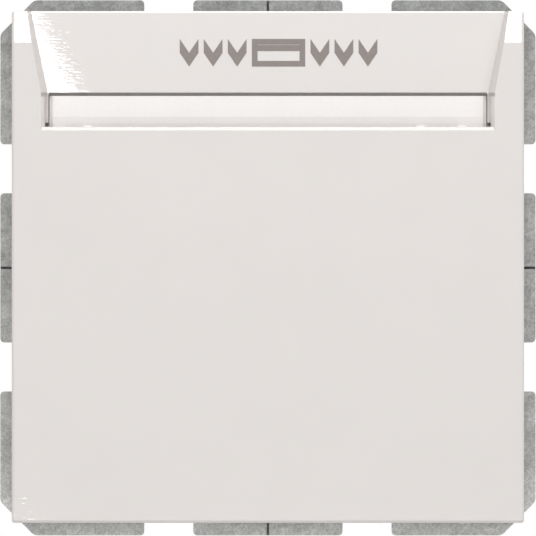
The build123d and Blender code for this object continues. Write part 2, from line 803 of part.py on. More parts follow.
# Card lever, which turns on its pin when the card's lower edge pushes the nose down
nose_top = pivot_height + nose_rise
with BuildPart() as card_lever:
    lever_span = both(lever_width / 2)
    axle(pivot_reach, pivot_height, lever_boss_radius, lever_span)
    side_profile(
        [
            (pivot_reach, nose_top),
            (nose_reach, nose_top),
            (nose_reach, nose_top - nose_tip_thick),
            (pivot_reach, nose_top - nose_root_thick),
        ],
        lever_span,
    )
    nose_edges = card_lever.edges().filter_by(Axis.X).group_by(Axis.Y)[0]
    fillet(nose_edges, nose_tip_thick / 3)
    axle(pivot_reach, finger_height, finger_radius, lever_span)
    side_profile(
        [
            (pivot_reach - finger_radius, finger_height),
            (pivot_reach + finger_radius, finger_height),
            (pivot_reach + 2 * finger_radius, pivot_height),
            (pivot_reach - finger_radius, pivot_height),
        ],
        lever_span,
    )
    tail_top = pivot_height + tail_length
    block(lever_span, (pivot_height, tail_top), around(pivot_reach, tail_thick))
    axle(pivot_reach, pivot_height, lever_pin_radius + running_gap, both(lever_width), Mode.SUBTRACT)
card_lever.part.label = "card_lever"
export_step(card_lever.part, "parts/card_lever.step")

with BuildPart() as lever_pin:
    axle(pivot_reach, pivot_height, lever_pin_radius, both(lever_width / 2 + free_gap + pin_rib_width))
lever_pin.part.label = "lever_pin"
export_step(lever_pin.part, "parts/lever_pin.step")

with BuildPart() as lever_spring:
    spring_front = cap_inner - seat_gap
    block(both(lever_spring_width / 2), (tail_top - tail_thick, -lever_spring_top),
          (spring_front - lever_spring_thick, spring_front))
lever_spring.part.label = "lever_spring"
export_step(lever_spring.part, "parts/lever_spring.step")

# Microswitch
lid_rear = switch_front - switch_lid_thick
switch_high = switch_centre + switch_width / 2
cavity_x = (switch_left + switch_wall, switch_right - switch_wall)
cavity_z = (switch_low + switch_wall, switch_high - switch_wall)
floor_front = board_front + switch_floor
flange_front = lid_rear - plunger_gap
flange_rear = flange_front - plunger_flange_thick
blade_front = flange_rear - plunger_stroke - seat_gap

with BuildPart() as switch_case:
    block((switch_left, switch_right), (switch_low, switch_high), (board_front, lid_rear))
    block(cavity_x, cavity_z, (floor_front, lid_rear + overrun), Mode.SUBTRACT)
    for span in switch_pins.values():
        block((span[0] - running_gap, span[1] + running_gap),
              around(switch_centre, pin_thick + 2 * running_gap),
              (board_front - overrun, floor_front + overrun), Mode.SUBTRACT)
switch_case.part.label = "switch_case"
export_step(switch_case.part, "parts/switch_case.step")

with BuildPart() as switch_lid:
    block((switch_left, switch_right), (switch_low, switch_high), (lid_rear, switch_front))
    fillet(switch_lid.edges().filter_by(Axis.Y), switch_wall / 2)
    rod(0, switch_centre, plunger_radius + plunger_gap, (lid_rear - overrun, switch_front + overrun),
        Mode.SUBTRACT)
switch_lid.part.label = "switch_lid"
export_step(switch_lid.part, "parts/switch_lid.step")

with BuildPart() as switch_plunger:
    rod(0, switch_centre, plunger_flange_radius, (flange_rear, flange_front))
    rod(0, switch_centre, plunger_radius, (flange_front, plunger_tip))
    fillet(switch_plunger.faces().sort_by(Axis.Y)[0].edges(), plunger_radius / 4)
switch_plunger.part.label = "switch_plunger"
export_step(switch_plunger.part, "parts/switch_plunger.step")

with BuildPart() as switch_blade:
    common = switch_pins["common"]
    block((common[0], switch_pins["open"][1]), around(switch_centre, blade_width),
          (blade_front - blade_thick, blade_front))
switch_blade.part.label = "switch_blade"
export_step(switch_blade.part, "parts/switch_blade.step")

pin_fronts = {
    "common": blade_front - blade_thick,
    "open": blade_front - blade_thick - contact_gap,
}
for name, pin_front in pin_fronts.items():
    with BuildPart() as switch_pin:
        span = switch_pins[name]
        block(span, around(switch_centre, pin_thick), (board_rear - pin_tail, pin_front - pin_thick))
        block(span, around(switch_centre, blade_width), (pin_front - pin_thick, pin_front))
    switch_pin.part.label = f"switch_{name}_pin"
    export_step(switch_pin.part, f"parts/switch_{name}_pin.step")

with BuildPart() as switch_closed_pin:
    span = switch_pins["closed"]
    over_blade = blade_front + seat_gap
    block(span, around(switch_centre, pin_thick), (board_rear - pin_tail, over_blade))
    block((switch_pins["open"][0], span[1]), around(switch_centre, blade_width),
          (over_blade, over_blade + pin_thick))
switch_closed_pin.part.label = "switch_closed_pin"
export_step(switch_closed_pin.part, "parts/switch_closed_pin.step")

# Locator lamp and light pipe
with BuildPart() as locator_lamp:
    rod(0, lamp_height, lamp_collar_radius, (board_front, board_front + lamp_collar_thick))
    rod(0, lamp_height, lamp_radius, (board_front + lamp_collar_thick, board_front + lamp_length))
    fillet(locator_lamp.faces().sort_by(Axis.Y)[0].edges(), lamp_radius * 2 / 3)
locator_lamp.part.label = "locator_lamp"
export_step(locator_lamp.part, "parts/locator_lamp.step")

with BuildPart() as light_pipe:
    pipe_rear = board_front + lamp_length + pipe_lamp_gap
    block(both(pipe_width / 2), around(lamp_height, pipe_height), (pipe_rear, pipe_front))
    fillet(light_pipe.edges().filter_by(Axis.Y), pipe_height / 5)
    flange_rear = cap_inner - pipe_flange
    block(both(pipe_width / 2 + pipe_flange), around(lamp_height, pipe_height + 2 * pipe_flange),
          (flange_rear, cap_inner))
light_pipe.part.label = "light_pipe"
export_step(light_pipe.part, "parts/light_pipe.step")

# Screw terminals
for number, place in enumerate(terminal_places, start=1):
    with BuildPart() as terminal_rail:
        block(around(place, rail_width), (rail_low, rail_high), (rail_rear, board_rear))
        block(around(place, rail_tail_width), (rail_low, rail_high), (board_rear, board_front))
    terminal_rail.part.label = f"terminal_rail_{number}"
    export_step(terminal_rail.part, f"parts/terminal_rail_{number}.step")

    with BuildPart() as terminal_cage:
        cage_reach = around(terminal_reach, cage_depth)
        block(around(place, cage_width), (cage_low, cage_high), cage_reach)
        fillet(terminal_cage.edges().filter_by(Axis.Y), cage_wall / 3)
        block(around(place, cage_width - 2 * cage_wall), (cage_low + cage_floor, cage_high - cage_wall),
              (cage_reach[0] - overrun, cage_reach[1] + overrun), Mode.SUBTRACT)
        post(place, terminal_reach, terminal_screw_radius + running_gap,
             (cage_low - overrun, cage_low + cage_floor + overrun / 2), Mode.SUBTRACT)
    terminal_cage.part.label = f"terminal_cage_{number}"
    export_step(terminal_cage.part, f"parts/terminal_cage_{number}.step")

    with BuildPart() as terminal_screw:
        post(place, terminal_reach, terminal_head_radius, (head_low, head_high))
        post(place, terminal_reach, terminal_screw_radius, (head_high, rail_low - seat_gap))
        block(around(place, 2 * terminal_head_radius + overrun),
              (head_low - overrun, head_low + slot_cut_depth),
              around(terminal_reach, slot_cut_width), Mode.SUBTRACT)
    terminal_screw.part.label = f"terminal_screw_{number}"
    export_step(terminal_screw.part, f"parts/terminal_screw_{number}.step")

# Spreading claws
# A claw turns on an upright pin. Its fork reaches outwards before the nut, and its toothed leg points back.
nut_front = claw_pivot_reach - claw_rib_radius - claw_rib_offset - claw_nut_gap
nut_rear = nut_front - claw_nut_thick
for side, hand in ((-1, "left"), (1, "right")):
    with BuildPart() as claw:
        arm_front = claw_pivot_reach + claw_arm_front
        arm_rear = claw_pivot_reach + claw_arm_rear
        leg_inner_x = claw_pivot_x - claw_leg_inner
        leg_outer_x = claw_pivot_x + claw_leg_outer
        leg_end_reach = claw_pivot_reach - claw_leg_length
        post(side * claw_pivot_x, claw_pivot_reach, claw_knuckle_radius, both(claw_half_height))
        # fork: a plate before the pivot, with a rib across its rear that the nut pulls on
        arm_x = sorted((side * (claw_pivot_x - claw_leg_inner), side * claw_arm_end))
        block(arm_x, both(claw_half_height), (arm_rear, arm_front))
        post(side * claw_screw_x, claw_pivot_reach - claw_rib_offset, claw_rib_radius,
             both(claw_half_height))
        block(around(side * claw_screw_x, 2 * claw_rib_radius), both(claw_half_height),
              (claw_pivot_reach - claw_rib_offset, arm_rear))
        # toothed leg
        leg_x = sorted((side * leg_inner_x, side * leg_outer_x))
        block(leg_x, both(claw_half_height), (leg_end_reach, arm_front))
        tooth_reach = claw_pivot_reach - claw_tooth_base
        tooth_middle = (tooth_reach + leg_end_reach) / 2
        plan_profile(
            [
                (side * leg_outer_x, tooth_reach),
                (side * (leg_outer_x + claw_tooth_height), tooth_middle),
                (side * leg_outer_x, tooth_middle),
                (side * (leg_outer_x + claw_tooth_height), leg_end_reach),
                (side * leg_inner_x, leg_end_reach),
                (side * leg_inner_x, tooth_reach),
            ],
            both(claw_half_height),
        )
        # window that the nut and the screw pass through, and the fork's slot
        window_x = sorted((side * (claw_pivot_x - claw_knuckle_radius - overrun),
                           side * (claw_pivot_x + claw_knuckle_radius + fit_gap)))
        block(window_x, both(claw_window_half), (claw_pivot_reach - claw_leg_window, arm_front + overrun),
              Mode.SUBTRACT)
        fork_x = sorted((side * (claw_screw_x - claw_nut_half_width - overrun),
                         side * (claw_arm_end + overrun)))
        block(fork_x, both(claw_fork_half), (claw_pivot_reach - claw_leg_window, arm_front + overrun),
              Mode.SUBTRACT)
        post(side * claw_pivot_x, claw_pivot_reach, claw_pin_radius + running_gap,
             both(claw_half_height + overrun), Mode.SUBTRACT)
    claw.part.label = f"claw_{hand}"
    export_step(claw.part, f"parts/claw_{hand}.step")

    with BuildPart() as claw_pin:
        pin_half = claw_half_height + lug_gap + lug_thick
        post(side * claw_pivot_x, claw_pivot_reach, claw_pin_radius, both(pin_half))
    claw_pin.part.label = f"claw_pin_{hand}"
    export_step(claw_pin.part, f"parts/claw_pin_{hand}.step")

    with BuildPart() as claw_screw:
        head_rear = plate_thick + seat_gap
        head_front = head_rear + claw_head_thick
        rod(side * claw_screw_x, 0, claw_head_radius, (head_rear, head_front))
        fillet(claw_screw.faces().sort_by(Axis.Y)[0].edges(), claw_head_thick / 3)
        rod(side * claw_screw_x, 0, claw_screw_radius, (nut_rear - claw_screw_tail, head_rear))
        cross_recess(side * claw_screw_x, 0, head_front, claw_head_radius)
    claw_screw.part.label = f"claw_screw_{hand}"
    export_step(claw_screw.part, f"parts/claw_screw_{hand}.step")

    with BuildPart() as claw_nut:
        block(around(side * claw_screw_x, 2 * claw_nut_half_width), both(claw_nut_half_height),
              (nut_rear, nut_front))
        rod(side * claw_screw_x, 0, claw_screw_radius + running_gap,
            (nut_rear - overrun, nut_front + overrun), Mode.SUBTRACT)
    claw_nut.part.label = f"claw_nut_{hand}"
    export_step(claw_nut.part, f"parts/claw_nut_{hand}.step")

# Relay
relay_x = both(relay_length / 2)
relay_low = cage_high + relay_cage_gap
relay_top = relay_low + relay_width
relay_z = (relay_low, relay_top)
relay_rear = board_rear - relay_depth
base_rear = board_rear - relay_base_flange
coil_height = middle(relay_z)
inner_x = both(relay_length / 2 - relay_wall)
inner_z = (relay_z[0] + relay_wall, relay_z[1] - relay_wall)
cover_inner_rear = relay_rear + relay_wall

with BuildPart() as relay_base:
    block(relay_x, relay_z, (base_rear, board_rear))
    step_x = (inner_x[0] + running_gap, inner_x[1] - running_gap)
    step_z = (inner_z[0] + running_gap, inner_z[1] - running_gap)
    block(step_x, step_z, (base_rear - relay_base_step, base_rear))
relay_base.part.label = "relay_base"
export_step(relay_base.part, "parts/relay_base.step")

with BuildPart() as relay_cover:
    block(relay_x, relay_z, (relay_rear, base_rear))
    fillet(relay_cover.edges().filter_by(Axis.Y), relay_wall / 2)
    fillet(relay_cover.faces().sort_by(Axis.Y)[-1].edges(), relay_wall / 2)
    block(inner_x, inner_z, (cover_inner_rear, base_rear + overrun), Mode.SUBTRACT)
relay_cover.part.label = "relay_cover"
export_step(relay_cover.part, "parts/relay_cover.step")

base_face = base_rear - relay_base_step
coil_left = coil_left_inset - relay_length / 2
coil_right = relay_length / 2 - coil_right_inset
yoke_rear = cover_inner_rear + seat_gap
yoke_front = yoke_rear + yoke_thick
coil_flange_half = (base_face - yoke_front) / 2 - coil_clear
coil_reach = yoke_front + running_gap + coil_flange_half
winding_radius = coil_flange_half - winding_step
with BuildPart() as relay_bobbin:
    for flange_x in ((coil_left, coil_left + coil_flange), (coil_right - coil_flange, coil_right)):
        block(flange_x, around(coil_height, 2 * coil_flange_half),
              (coil_reach - coil_flange_half, base_face))
    axle(coil_reach, coil_height, bobbin_tube_radius, (coil_left, coil_right))
    axle(coil_reach, coil_height, core_radius + running_gap, (coil_left - overrun, coil_right + overrun),
         Mode.SUBTRACT)
relay_bobbin.part.label = "relay_bobbin"
export_step(relay_bobbin.part, "parts/relay_bobbin.step")

with BuildPart() as relay_winding:
    winding_x = (coil_left + coil_flange + seat_gap, coil_right - coil_flange - seat_gap)
    axle(coil_reach, coil_height, winding_radius, winding_x)
    axle(coil_reach, coil_height, bobbin_tube_radius + running_gap,
         (winding_x[0] - overrun, winding_x[1] + overrun), Mode.SUBTRACT)
relay_winding.part.label = "relay_winding"
export_step(relay_winding.part, "parts/relay_winding.step")

yoke_left = coil_left - yoke_thick
head_right = coil_right + core_head_thick
yoke_right = head_right + armature_gap - running_gap
with BuildPart() as relay_yoke:
    yoke_z = around(coil_height, 2 * armature_half_height)
    block((yoke_left, coil_left), yoke_z, (yoke_rear, coil_reach + coil_flange_half))
    block((yoke_left, yoke_right), yoke_z, (yoke_rear, yoke_front))
    axle(coil_reach, coil_height, core_radius + running_gap, (yoke_left - overrun, coil_left + overrun),
         Mode.SUBTRACT)
relay_yoke.part.label = "relay_yoke"
export_step(relay_yoke.part, "parts/relay_yoke.step")

with BuildPart() as relay_core:
    axle(coil_reach, coil_height, core_radius, (yoke_left, coil_right))
    axle(coil_reach, coil_height, core_head_radius, (coil_right, head_right))
relay_core.part.label = "relay_core"
export_step(relay_core.part, "parts/relay_core.step")

# The armature turns on its rounded end beside the yoke, and the strip on it carries the moving contact.
armature_x = (head_right + armature_gap, head_right + armature_gap + armature_thick)
armature_rear = coil_reach - coil_flange_half
contact_strip_end = base_face - contact_strip_gap
relay_contact_reach = contact_strip_end - contact_button_radius
armature_free_end = relay_contact_reach - armature_tip_gap
with BuildPart() as relay_armature:
    armature_z = around(coil_height, 2 * armature_half_height)
    block(armature_x, armature_z, (armature_rear, armature_free_end))
    post(middle(armature_x), armature_rear, armature_thick / 2, armature_z)
relay_armature.part.label = "relay_armature"
export_step(relay_armature.part, "parts/relay_armature.step")

strip_x = (armature_x[1], armature_x[1] + contact_strip_thick)
with BuildPart() as relay_moving_contact:
    block(strip_x, around(coil_height, armature_half_height), (armature_rear + overrun, contact_strip_end))
    axle(relay_contact_reach, coil_height, contact_button_radius,
         (strip_x[0] - contact_button_thick, strip_x[0]))
relay_moving_contact.part.label = "relay_moving_contact"
export_step(relay_moving_contact.part, "parts/relay_moving_contact.step")

fixed_face = strip_x[0] - contact_button_thick - relay_contact_gap
with BuildPart() as relay_fixed_contact:
    axle(relay_contact_reach, coil_height, contact_button_radius,
         (fixed_face - contact_button_thick, fixed_face))
    block((fixed_face - contact_button_thick - contact_strip_thick, fixed_face - contact_button_thick),
          around(coil_height, armature_half_height), (relay_contact_reach - contact_button_radius, base_face))
relay_fixed_contact.part.label = "relay_fixed_contact"
export_step(relay_fixed_contact.part, "parts/relay_fixed_contact.step")

# Parts soldered to the board's rear
can_x = half_board - can_side_inset - can_radius
can_z = relay_top + can_relay_gap + can_radius
film_cap_x = (film_cap_side_inset - half_board, can_x - can_radius - film_cap_can_gap)
film_cap_low = relay_top + film_cap_relay_gap
film_cap_z = (film_cap_low, film_cap_low + film_cap_height)
fuse_right = half_board - fuse_side_inset
fuse_x = (fuse_right - fuse_length, fuse_right)
fuse_z = half_board_height - fuse_end_inset
varistor_right = fuse_x[0] - varistor_fuse_gap
varistor_x = (varistor_right - varistor_thick, varistor_right)
varistor_z = fuse_z
rectifier_x = (rectifier_side_inset - half_board, varistor_x[0] - rectifier_varistor_gap)
rectifier_top = half_board_height - rectifier_end_inset
rectifier_z = (rectifier_top - rectifier_height, rectifier_top)
resistor_x = half_board - resistor_side_inset
resistor_low = relay_top + resistor_relay_gap
resistor_next = resistor_low + resistor_length + resistor_gap
resistor_spans = (
    (resistor_low, resistor_low + resistor_length),
    (resistor_next, resistor_next + resistor_length),
)

with BuildPart() as film_capacitor:
    block(film_cap_x, film_cap_z, (board_rear - film_cap_depth, board_rear))
    fillet(film_capacitor.edges().filter_by(Axis.Y), film_cap_round)
    fillet(film_capacitor.faces().sort_by(Axis.Y)[-1].edges(), film_cap_round)
film_capacitor.part.label = "film_capacitor"
export_step(film_capacitor.part, "parts/film_capacitor.step")

with BuildPart() as electrolytic_capacitor:
    rod(can_x, can_z, can_radius, (board_rear - can_depth, board_rear))
    fillet(electrolytic_capacitor.faces().sort_by(Axis.Y)[-1].edges(), can_groove_width / 2)
    groove = around(board_rear - can_groove_offset, can_groove_width)
    with BuildSketch(Plane.XZ.offset(groove[0])) as ring_cut:
        with Locations((can_x, can_z)):
            Circle(can_radius + overrun)
            Circle(can_radius - can_groove_depth, mode=Mode.SUBTRACT)
    extrude(ring_cut.sketch, amount=can_groove_width, mode=Mode.SUBTRACT)
electrolytic_capacitor.part.label = "electrolytic_capacitor"
export_step(electrolytic_capacitor.part, "parts/electrolytic_capacitor.step")

with BuildPart() as bridge_rectifier:
    block(rectifier_x, rectifier_z, (board_rear - rectifier_depth, board_rear - part_lift))
    fillet(bridge_rectifier.faces().sort_by(Axis.Y)[-1].edges(), part_lift)
    for x in (rectifier_x[0] + lead_stub, rectifier_x[1] - lead_stub):
        for z in (rectifier_z[0] + lead_stub, rectifier_z[1] - lead_stub):
            rod(x, z, lead_radius, (board_rear - part_lift, board_rear))
bridge_rectifier.part.label = "bridge_rectifier"
export_step(bridge_rectifier.part, "parts/bridge_rectifier.step")

with BuildPart() as varistor:
    disc_reach = board_rear - varistor_lift - varistor_radius
    axle(disc_reach, varistor_z, varistor_radius, varistor_x)
    fillet(varistor.edges().filter_by(GeomType.CIRCLE), spread(varistor_x) / 3)
    for z in (varistor_z - varistor_radius / 2, varistor_z + varistor_radius / 2):
        rod(middle(varistor_x), z, lead_radius, (disc_reach, board_rear))
varistor.part.label = "varistor"
export_step(varistor.part, "parts/varistor.step")

with BuildPart() as fuse:
    fuse_reach = board_rear - part_lift - fuse_radius
    axle(fuse_reach, fuse_z, fuse_radius, fuse_x)
    axle(fuse_reach, fuse_z, lead_radius, (fuse_x[0] - lead_stub / 2, fuse_x[1] + lead_stub / 2))
    for x in (fuse_x[0] - lead_stub / 2, fuse_x[1] + lead_stub / 2):
        block(around(x, 2 * lead_radius), around(fuse_z, 2 * lead_radius),
              (fuse_reach - lead_radius, board_rear))
fuse.part.label = "fuse"
export_step(fuse.part, "parts/fuse.step")

for number, span in enumerate(resistor_spans, start=1):
    with BuildPart() as resistor:
        body_reach = board_rear - part_lift - resistor_radius
        waist = spread(span) / 4
        post(resistor_x, body_reach, resistor_radius, (span[0], span[0] + waist))
        post(resistor_x, body_reach, resistor_radius - part_lift, span)
        post(resistor_x, body_reach, resistor_radius, (span[1] - waist, span[1]))
        for z in span:
            rod(resistor_x, z, lead_radius, (body_reach - lead_radius, board_rear))
    resistor.part.label = f"resistor_{number}"
    export_step(resistor.part, f"parts/resistor_{number}.step")
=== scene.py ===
import json
import math

import bmesh
import bpy
from mathutils import Matrix, Vector


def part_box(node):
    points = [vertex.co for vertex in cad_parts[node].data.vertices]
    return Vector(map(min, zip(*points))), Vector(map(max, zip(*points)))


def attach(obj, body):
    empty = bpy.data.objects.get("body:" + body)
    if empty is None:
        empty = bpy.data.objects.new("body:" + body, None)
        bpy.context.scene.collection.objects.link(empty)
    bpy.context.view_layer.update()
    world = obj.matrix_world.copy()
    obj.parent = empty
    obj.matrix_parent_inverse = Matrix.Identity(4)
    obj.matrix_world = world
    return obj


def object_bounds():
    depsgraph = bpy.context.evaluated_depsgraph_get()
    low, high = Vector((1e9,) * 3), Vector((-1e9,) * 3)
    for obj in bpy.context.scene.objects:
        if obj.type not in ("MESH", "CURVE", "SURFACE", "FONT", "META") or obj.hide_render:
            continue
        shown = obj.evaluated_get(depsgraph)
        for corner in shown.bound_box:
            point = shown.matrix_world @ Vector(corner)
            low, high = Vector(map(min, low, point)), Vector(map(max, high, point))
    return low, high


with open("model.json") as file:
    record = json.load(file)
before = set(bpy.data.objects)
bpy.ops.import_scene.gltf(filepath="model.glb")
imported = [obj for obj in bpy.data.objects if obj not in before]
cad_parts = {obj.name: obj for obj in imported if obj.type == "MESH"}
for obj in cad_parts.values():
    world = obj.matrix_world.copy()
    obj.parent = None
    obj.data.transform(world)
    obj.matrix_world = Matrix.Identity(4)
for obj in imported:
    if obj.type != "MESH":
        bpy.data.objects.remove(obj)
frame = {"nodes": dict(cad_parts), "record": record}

cad_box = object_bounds()
scene = bpy.context.scene
MM = 0.001

# Places on the photograph, in its 536 by 536 pixel frame
IMAGE_SIDE = 536
PLATE_LEFT_PX = 0.3
PLATE_RIGHT_PX = 535.3
OBJECT_MIDDLE_PX = (267.9, 267.9)
PRINT_LEFT_PX, PRINT_RIGHT_PX = 180.0, 377.0
PRINT_TOP_PX, PRINT_BOTTOM_PX = 40.5, 68.0

# Scale and camera
plate_low, plate_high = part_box("support_plate")
METRES_PER_PX = (plate_high.x - plate_low.x) / (PLATE_RIGHT_PX - PLATE_LEFT_PX)
CAMERA_DISTANCE = 3.0
CAMERA_ELEVATION = math.radians(-0.7)
SENSOR = 36.0
CLIP_NEAR, CLIP_FAR = 0.1, 10.0


# Node helpers
def new_material(name):
    material = bpy.data.materials.new(name)
    material.use_nodes = True
    tree = material.node_tree
    tree.nodes.clear()
    output = tree.nodes.new("ShaderNodeOutputMaterial")
    shader = tree.nodes.new("ShaderNodeBsdfPrincipled")
    tree.links.new(shader.outputs["BSDF"], output.inputs["Surface"])
    return material, tree, shader


def object_space(tree, stretch=(1.0, 1.0, 1.0)):
    """Object coordinates in metres, stretched by three factors."""
    coordinates = tree.nodes.new("ShaderNodeTexCoord")
    mapping = tree.nodes.new("ShaderNodeMapping")
    mapping.inputs["Scale"].default_value = stretch
    tree.links.new(coordinates.outputs["Object"], mapping.inputs["Vector"])
    return mapping.outputs["Vector"]


def noise(tree, vector, size_mm, detail=3.0, roughness=0.5):
    """A noise pattern whose blotches are about this many millimetres across."""
    pattern = tree.nodes.new("ShaderNodeTexNoise")
    pattern.inputs["Scale"].default_value = 1.0 / (size_mm * MM)
    pattern.inputs["Detail"].default_value = detail
    pattern.inputs["Roughness"].default_value = roughness
    tree.links.new(vector, pattern.inputs["Vector"])
    return pattern.outputs["Fac"]


def ramp(tree, factor, stops):
    """A colour ramp with (position, colour) stops."""
    node = tree.nodes.new("ShaderNodeValToRGB")
    elements = node.color_ramp.elements
    while len(elements) < len(stops):
        elements.new(0.5)
    for element, (position, colour) in zip(elements, stops):
        element.position = position
        element.color = (*colour, 1.0)
    tree.links.new(factor, node.inputs["Fac"])
    return node.outputs["Color"]


def spread_value(tree, factor, low, high, start=0.3, end=0.7):
    """Maps a pattern to a range of values."""
    node = tree.nodes.new("ShaderNodeMapRange")
    node.inputs["From Min"].default_value = start
    node.inputs["From Max"].default_value = end
    node.inputs["To Min"].default_value = low
    node.inputs["To Max"].default_value = high
    tree.links.new(factor, node.inputs["Value"])
    return node.outputs["Result"]


def multiply(tree, first, second):
    """The product of two colours."""
    node = tree.nodes.new("ShaderNodeMix")
    node.data_type = "RGBA"
    node.blend_type = "MULTIPLY"
    node.inputs["Factor"].default_value = 1.0
    tree.links.new(first, node.inputs[6])
    tree.links.new(second, node.inputs[7])
    return node.outputs[2]


def bump(tree, shader, height, strength, distance_mm, socket="Normal"):
    """Relief from a pattern, in the shader's own normal or in its coat's."""
    node = tree.nodes.new("ShaderNodeBump")
    node.inputs["Strength"].default_value = strength
    node.inputs["Distance"].default_value = distance_mm * MM
    tree.links.new(height, node.inputs["Height"])
    tree.links.new(node.outputs["Normal"], shader.inputs[socket])


def shade(colour, factor):
    """A colour made darker or lighter."""
    return tuple(min(1.0, channel * factor) for channel in colour)


# Materials
COAT_ROUGHNESS = 0.015
COAT_RIPPLE_MM = 0.4            # across the ripples that fray a glare's edge
COAT_RIPPLE_DEPTH_MM = 0.0028
COAT_RIPPLE_STRETCH = (0.2, 1.0, 1.0)
PLASTIC_IOR = 1.5
RESIN_IOR = 1.49
DRAWN_LINE_STRETCH = (1.0, 1.0, 0.12)
WIRE_TURN_MM = 0.9
BOARD_TRACK_MM = 6.0
SPANGLE_MM = 1.1
SCRIBE_HALF_WIDTH = 0.17 * MM
SCRIBE_START = 33.0 * MM        # how far from the plate's middle a mark begins
SCRIBE_FRONT = -0.3 * MM        # the marks lie in front of this depth
SCRIBE_SHADE_SHARE = 0.35             # painted shade in a mark: its brightness as a share of the plate's
PLATE_BOTTOM, PLATE_TOP = -34.0 * MM, 34.6 * MM
# painted light and shade: the plate's brightness from its bottom to its top, lighter at the bottom and
# darker at the top
PLATE_PAINTED_SHADE_TONES = (
    (0.0, (1.0, 1.0, 1.0)), (0.04, (0.99, 0.99, 0.99)), (0.12, (0.76, 0.76, 0.76)),
    (0.5, (0.67, 0.67, 0.67)), (0.88, (0.72, 0.72, 0.72)), (1.0, (0.44, 0.45, 0.45)),
)


def moulded_plastic(name, colour, gloss, grain_mm=0.25, grain=0.1, mottle=0.03, coat=0.0):
    """Moulded plastic with a faint flow mottle and a fine grain in gloss and relief."""
    material, tree, shader = new_material(name)
    space = object_space(tree)
    flow = noise(tree, space, size_mm=9.0, detail=2.0)
    tree.links.new(
        ramp(tree, flow, [(0.3, shade(colour, 1.0 - mottle)), (0.7, shade(colour, 1.0 + mottle))]),
        shader.inputs["Base Color"],
    )
    grain_pattern = noise(tree, space, grain_mm, detail=4.0)
    roughness = spread_value(tree, grain_pattern, gloss * 0.85, gloss * 1.15)
    tree.links.new(roughness, shader.inputs["Roughness"])
    bump(tree, shader, grain_pattern, strength=grain, distance_mm=0.01)
    shader.inputs["Coat Weight"].default_value = coat
    shader.inputs["Coat Roughness"].default_value = COAT_ROUGHNESS
    if coat:
        ripple = noise(tree, object_space(tree, COAT_RIPPLE_STRETCH), COAT_RIPPLE_MM, detail=2.0)
        bump(tree, shader, ripple, strength=1.0, distance_mm=COAT_RIPPLE_DEPTH_MM, socket="Coat Normal")
    shader.inputs["IOR"].default_value = PLASTIC_IOR
    return material


def scribe_painted_shade(tree, split):
    """A factor of painted shade that darkens the plate's four scribed centre marks, from split object
    coordinates.
    """
    def math_node(operation, first, second=None):
        node = tree.nodes.new("ShaderNodeMath")
        node.operation = operation
        for socket, value in zip(node.inputs, (first, second)):
            if isinstance(value, float):
                socket.default_value = value
            elif value is not None:
                tree.links.new(value, socket)
        return node.outputs["Value"]

    across = math_node("ABSOLUTE", split.outputs["X"])
    up = math_node("ABSOLUTE", split.outputs["Z"])
    in_line = math_node("LESS_THAN", math_node("MINIMUM", across, up), SCRIBE_HALF_WIDTH)
    on_edge = math_node("GREATER_THAN", math_node("MAXIMUM", across, up), SCRIBE_START)
    on_front = math_node("LESS_THAN", split.outputs["Y"], SCRIBE_FRONT)
    inside = math_node("MULTIPLY", math_node("MULTIPLY", in_line, on_edge), on_front)
    # painted shade: the marks' grooves are darkened in colour
    return spread_value(tree, inside, 1.0, SCRIBE_SHADE_SHARE)


def galvanised(name, tone_low, tone_high):
    """Zinc-coated sheet: interlocked spangles, fine speckle and dull blotches, with painted shade that
    darkens it towards its top.
    """
    material, tree, shader = new_material(name)
    space = object_space(tree)
    spangle = tree.nodes.new("ShaderNodeTexVoronoi")
    spangle.inputs["Scale"].default_value = 1.0 / (SPANGLE_MM * MM)
    tree.links.new(space, spangle.inputs["Vector"])
    grey = tree.nodes.new("ShaderNodeRGBToBW")
    tree.links.new(spangle.outputs["Color"], grey.inputs["Color"])
    crystal_tones = [(0.2, shade(tone_low, 1.06)), (0.8, shade(tone_high, 0.96))]
    crystals = ramp(tree, grey.outputs["Val"], crystal_tones)
    cloud = noise(tree, space, size_mm=2.2, detail=6.0, roughness=0.7)
    blotches = ramp(tree, cloud, [(0.32, (0.72, 0.73, 0.72)), (0.62, (1.0, 1.0, 1.0))])
    speckle = noise(tree, space, size_mm=0.28, detail=5.0, roughness=0.75)
    specks = ramp(tree, speckle, [(0.36, (0.66, 0.66, 0.65)), (0.62, (1.08, 1.08, 1.07))])
    colour = multiply(tree, multiply(tree, crystals, blotches), specks)
    split = tree.nodes.new("ShaderNodeSeparateXYZ")
    tree.links.new(space, split.inputs["Vector"])
    # painted light and shade: the plate's colour runs from light at its bottom to dark at its top
    height = spread_value(tree, split.outputs["Z"], 0.0, 1.0, PLATE_BOTTOM, PLATE_TOP)
    tone = ramp(tree, height, PLATE_PAINTED_SHADE_TONES)
    colour = multiply(tree, multiply(tree, colour, tone), scribe_painted_shade(tree, split))
    tree.links.new(colour, shader.inputs["Base Color"])
    tree.links.new(spread_value(tree, cloud, low=0.38, high=0.6), shader.inputs["Roughness"])
    shader.inputs["Metallic"].default_value = 0.35
    bump(tree, shader, speckle, strength=0.25, distance_mm=0.02)
    return material


def bare_metal(name, colour, gloss):
    """Turned or stamped metal with fine drawn lines and slight tarnish."""
    material, tree, shader = new_material(name)
    lines = noise(tree, object_space(tree, DRAWN_LINE_STRETCH), size_mm=0.06, detail=3.0)
    tarnish = noise(tree, object_space(tree), size_mm=1.6, detail=4.0)
    tree.links.new(
        ramp(tree, tarnish, [(0.3, shade(colour, 0.8)), (0.7, shade(colour, 1.08))]),
        shader.inputs["Base Color"],
    )
    tree.links.new(spread_value(tree, lines, gloss * 0.75, gloss * 1.25), shader.inputs["Roughness"])
    shader.inputs["Metallic"].default_value = 0.9
    bump(tree, shader, lines, strength=0.15, distance_mm=0.01)
    return material


